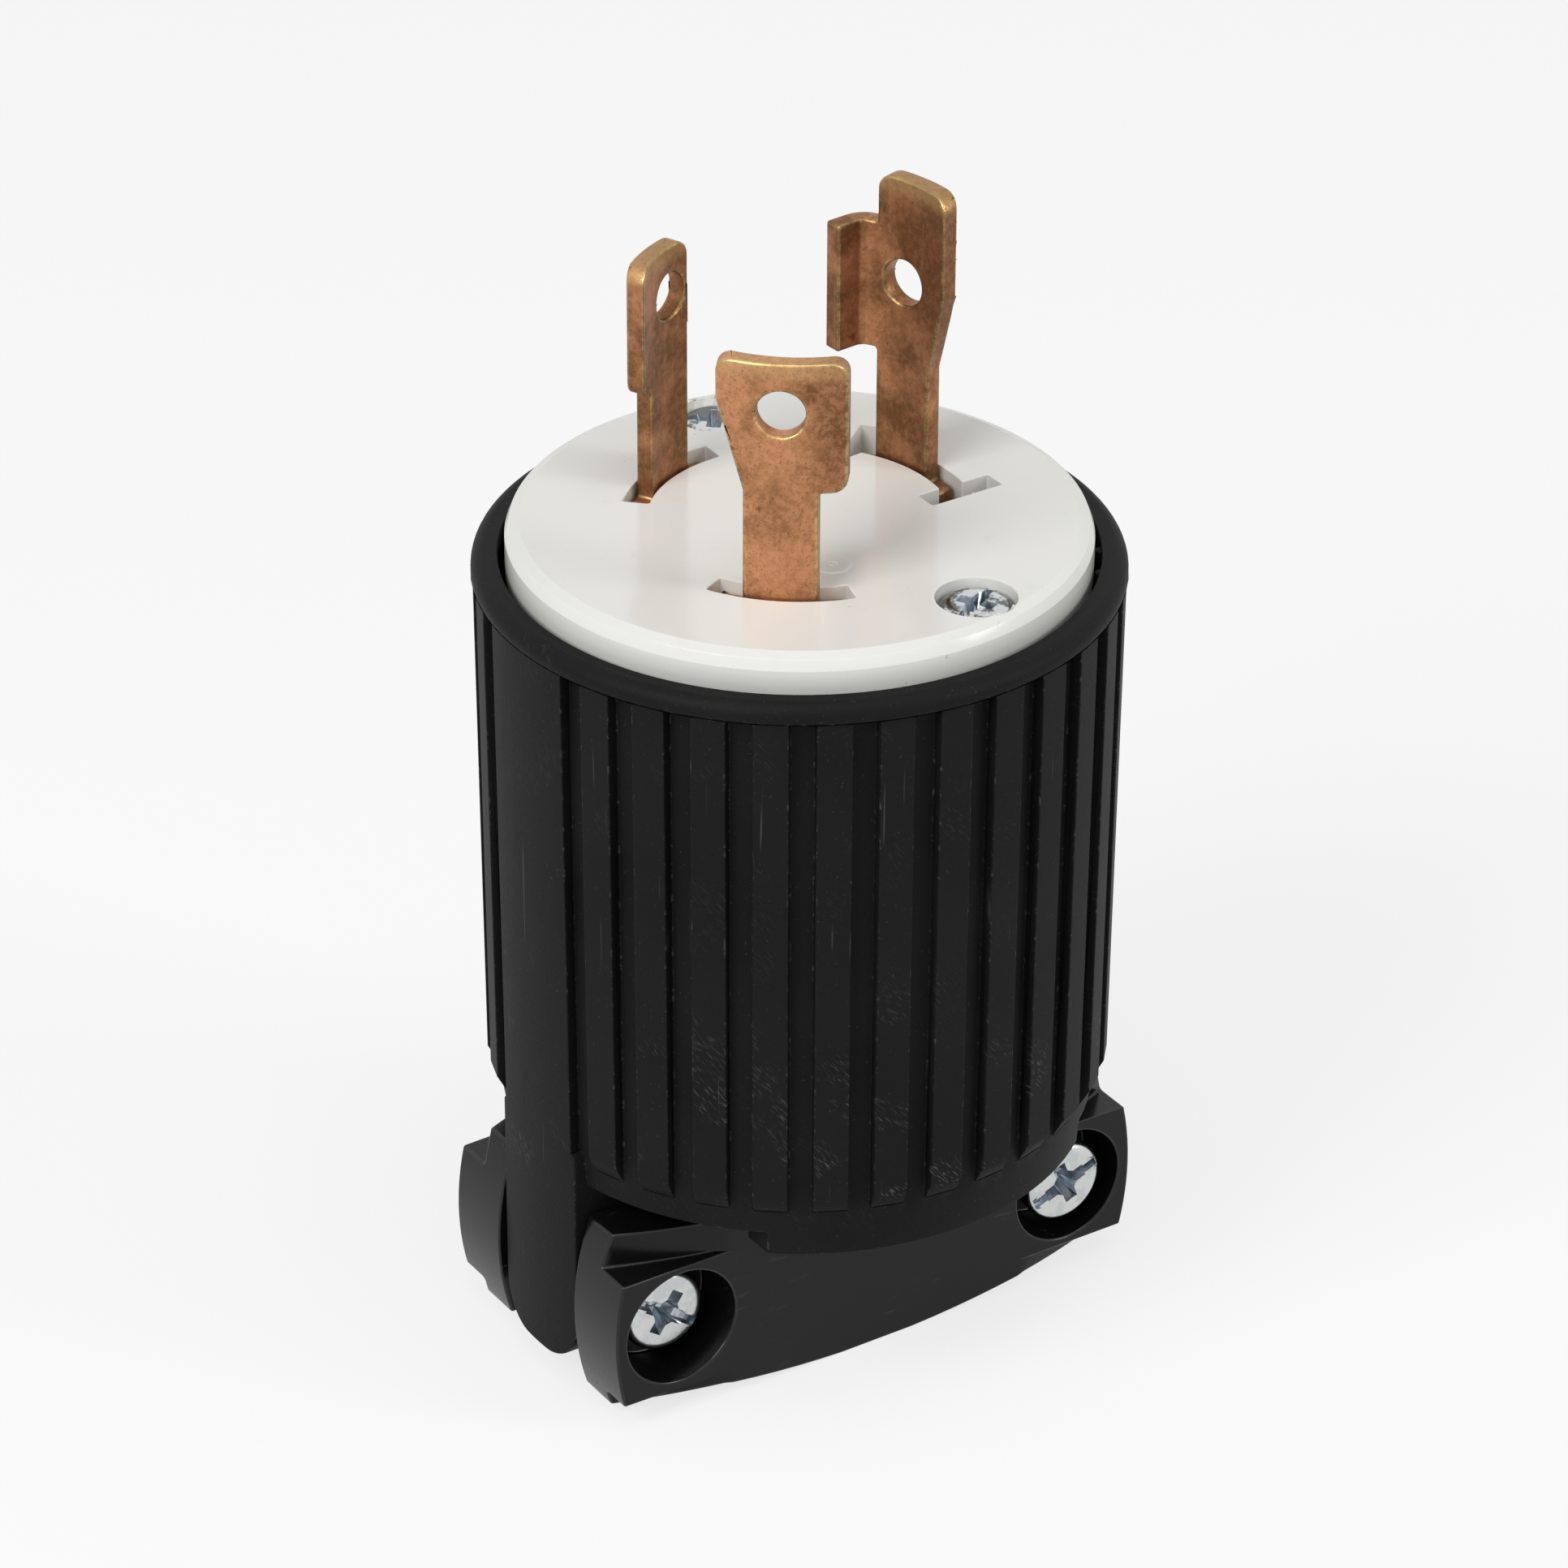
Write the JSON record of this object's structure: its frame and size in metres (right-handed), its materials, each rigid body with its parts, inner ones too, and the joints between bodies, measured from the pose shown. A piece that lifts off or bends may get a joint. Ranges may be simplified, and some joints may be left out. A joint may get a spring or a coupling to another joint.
{
  "type": "locking power plug",
  "caption": "Round ribbed locking power plug with curved blades through a white front disc and a screwed cord clamp at the back end.",
  "frame": {"origin": "on the plug's axis, at the lowest edge of the cord clamp, on which the plug stands", "axes": "+Z along the plug's axis towards the blade tips, +X along the cord clamp's long side, -Y towards the side with the clamp screw heads"},
  "size_m": [0.0392, 0.0392, 0.0726],
  "materials": {
    "black_nylon": "fine moulded grain, matte",
    "white_nylon": "glossy",
    "inner_insulator": "matte",
    "clamp_nylon": "satin",
    "blade_metal": "satin bronze with worn edges",
    "plate_brass": "satin",
    "brass_screw": "bright",
    "silver_screw": "bright plated",
    "green_screw": "dyed green",
    "zinc_screw": "bright zinc plate"
  },
  "bodies": {
    "root": {"housing": "black_nylon", "front_insulator": "white_nylon", "terminal_carrier": "inner_insulator", "neutral_blade": "blade_metal", "line_blade": "blade_metal", "ground_blade": "blade_metal", "neutral_plate": "plate_brass", "line_plate": "plate_brass", "ground_plate": "plate_brass", "neutral_screw": "silver_screw", "line_screw": "brass_screw", "ground_screw": "green_screw", "face_screw_front": "zinc_screw", "face_screw_rear": "zinc_screw", "clamp_front": "clamp_nylon", "clamp_rear": "clamp_nylon", "clamp_screw_left": "zinc_screw", "clamp_screw_right": "zinc_screw", "clamp_nut_left": "zinc_screw", "clamp_nut_right": "zinc_screw"}
  },
  "joints": []
}
